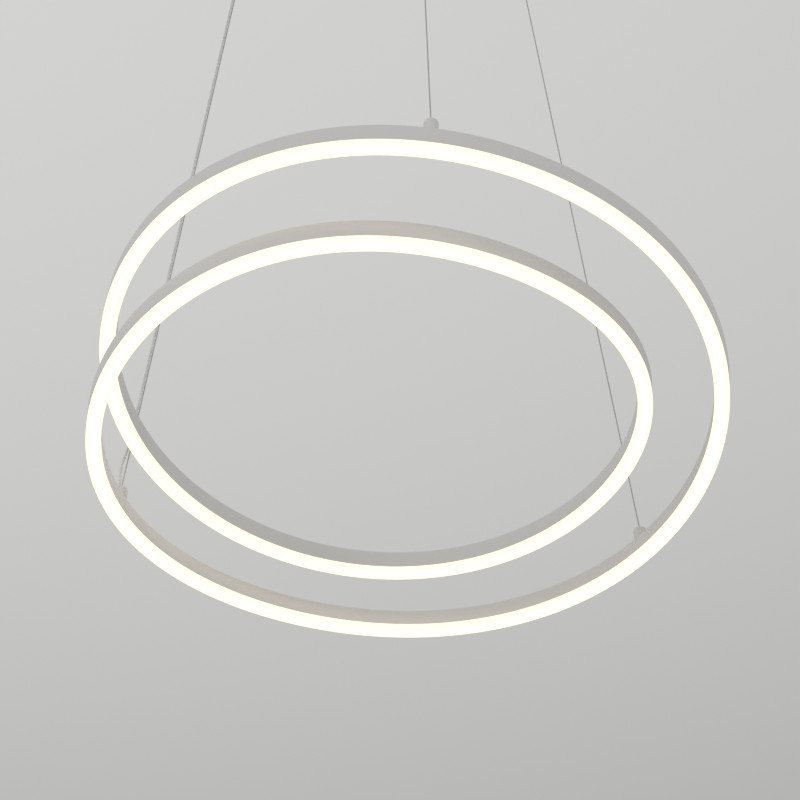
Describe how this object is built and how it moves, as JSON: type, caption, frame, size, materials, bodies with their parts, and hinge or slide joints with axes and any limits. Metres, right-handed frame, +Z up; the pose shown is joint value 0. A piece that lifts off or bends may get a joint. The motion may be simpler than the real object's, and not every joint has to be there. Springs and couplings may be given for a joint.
{
  "type": "pendant light",
  "caption": "Pendant light: a slim aluminium band in a crossing double loop with a glowing opal diffuser along its underside, hung on fine wires from a round ceiling canopy.",
  "frame": {"origin": "centre of the ceiling bracket's top face, on the ceiling", "axes": "+Z up into the ceiling, +X along the ceiling bracket's slots, +Y away from the viewer"},
  "size_m": [0.5964, 0.6057, 1.0503],
  "materials": {
    "satin_aluminium": "satin champagne-silver coat",
    "plain_aluminium": "mill",
    "opal": "satin, lit from inside",
    "strip_board": "matte",
    "led_phosphor": "gloss",
    "wire_steel": "stranded, dull",
    "zinc_steel": "zinc plated",
    "nickel_brass": "satin nickel plated",
    "clear_pvc": "clear",
    "lead_insulation": "satin",
    "driver_case": "matte",
    "block_polyamide": "matte",
    "gland_polyamide": "matte"
  },
  "bodies": {
    "ceiling_rose": {"ceiling_bracket": "zinc_steel", "canopy_cover": "satin_aluminium", "canopy_screws": "satin_aluminium", "led_driver": "driver_case", "fixing_screws": "zinc_steel", "terminal_block": "block_polyamide", "terminal_screws": "zinc_steel", "mains_leads": "lead_insulation", "driver_lead": "clear_pvc", "cable_gland": "gland_polyamide", "gland_nut": "gland_polyamide", "grip_body_1": "nickel_brass", "grip_body_2": "nickel_brass", "grip_body_3": "nickel_brass", "grip_nut_1": "nickel_brass", "grip_nut_2": "nickel_brass", "grip_nut_3": "nickel_brass", "wire_tails": "wire_steel", "wire_1": "wire_steel", "wire_2": "wire_steel", "wire_3": "wire_steel", "power_cable": "clear_pvc"},
    "light_ring": {"profile_1": "satin_aluminium", "profile_2": "satin_aluminium", "profile_3": "satin_aluminium", "profile_4": "satin_aluminium", "diffuser_1": "opal", "diffuser_2": "opal", "diffuser_3": "opal", "diffuser_4": "opal", "led_strip_1": "strip_board", "led_strip_2": "strip_board", "led_strip_3": "strip_board", "led_strip_4": "strip_board", "led_chips_1": "led_phosphor", "led_chips_2": "led_phosphor", "led_chips_3": "led_phosphor", "led_chips_4": "led_phosphor", "joiner_1": "plain_aluminium", "joiner_2": "plain_aluminium", "joiner_3": "plain_aluminium", "joiner_4": "plain_aluminium", "joiner_screws": "zinc_steel", "hanger_cap_1": "satin_aluminium", "hanger_cap_2": "satin_aluminium", "hanger_cap_3": "satin_aluminium", "hanger_screw_1": "zinc_steel", "hanger_screw_2": "zinc_steel", "hanger_screw_3": "zinc_steel", "wire_ball_1": "wire_steel", "wire_ball_2": "wire_steel", "wire_ball_3": "wire_steel"},
    "plunger_1": {"grip_plunger_1": "nickel_brass"},
    "plunger_2": {"grip_plunger_2": "nickel_brass"},
    "plunger_3": {"grip_plunger_3": "nickel_brass"}
  },
  "joints": [
    {"name": "height_adjust", "type": "slide", "parent": "ceiling_rose", "child": "light_ring", "axis": [0, 0, 1], "range_m": [0, 0.5], "deforming": ["wire_1", "wire_2", "wire_3", "power_cable"]},
    {"name": "plunger_1_press", "type": "slide", "parent": "ceiling_rose", "child": "plunger_1", "axis": [0, 0, 1], "range_m": [0, 0.003], "stiffness_N_per_m": 400, "springref_m": -0.003},
    {"name": "plunger_2_press", "type": "slide", "parent": "ceiling_rose", "child": "plunger_2", "axis": [0, 0, 1], "range_m": [0, 0.003], "stiffness_N_per_m": 400, "springref_m": -0.003},
    {"name": "plunger_3_press", "type": "slide", "parent": "ceiling_rose", "child": "plunger_3", "axis": [0, 0, 1], "range_m": [0, 0.003], "stiffness_N_per_m": 400, "springref_m": -0.003}
  ]
}
